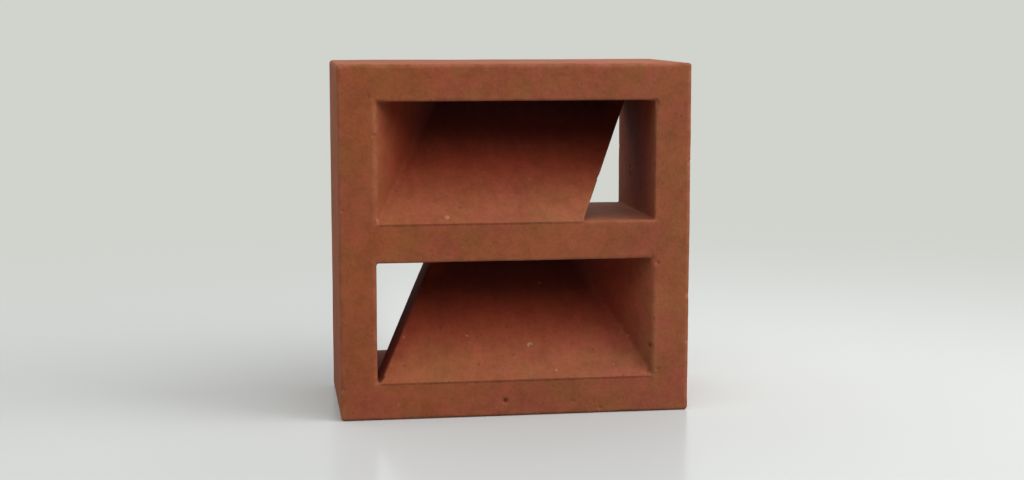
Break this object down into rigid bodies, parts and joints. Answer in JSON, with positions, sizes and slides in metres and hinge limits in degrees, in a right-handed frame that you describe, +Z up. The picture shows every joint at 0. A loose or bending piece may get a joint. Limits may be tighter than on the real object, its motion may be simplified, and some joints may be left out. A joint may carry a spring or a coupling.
{
  "type": "terracotta vent block",
  "caption": "Square fired-clay ventilation block with louvred cells: a sloping baffle closes each cell apart from a triangular slot that lets air through and keeps rain and sight lines out.",
  "frame": {"origin": "centre of the bottom bed face, so the block stands on Z = 0", "axes": "+X to the right along the wall, seen from the front; +Y into the wall, from the front face to the back face, which is the block's shortest side; +Z up, out of the top bed face"},
  "size_m": [0.2, 0.1, 0.2],
  "materials": {
    "terracotta": "matte, unglazed"
  },
  "bodies": {
    "root": {"vent_block": "terracotta"}
  },
  "joints": []
}
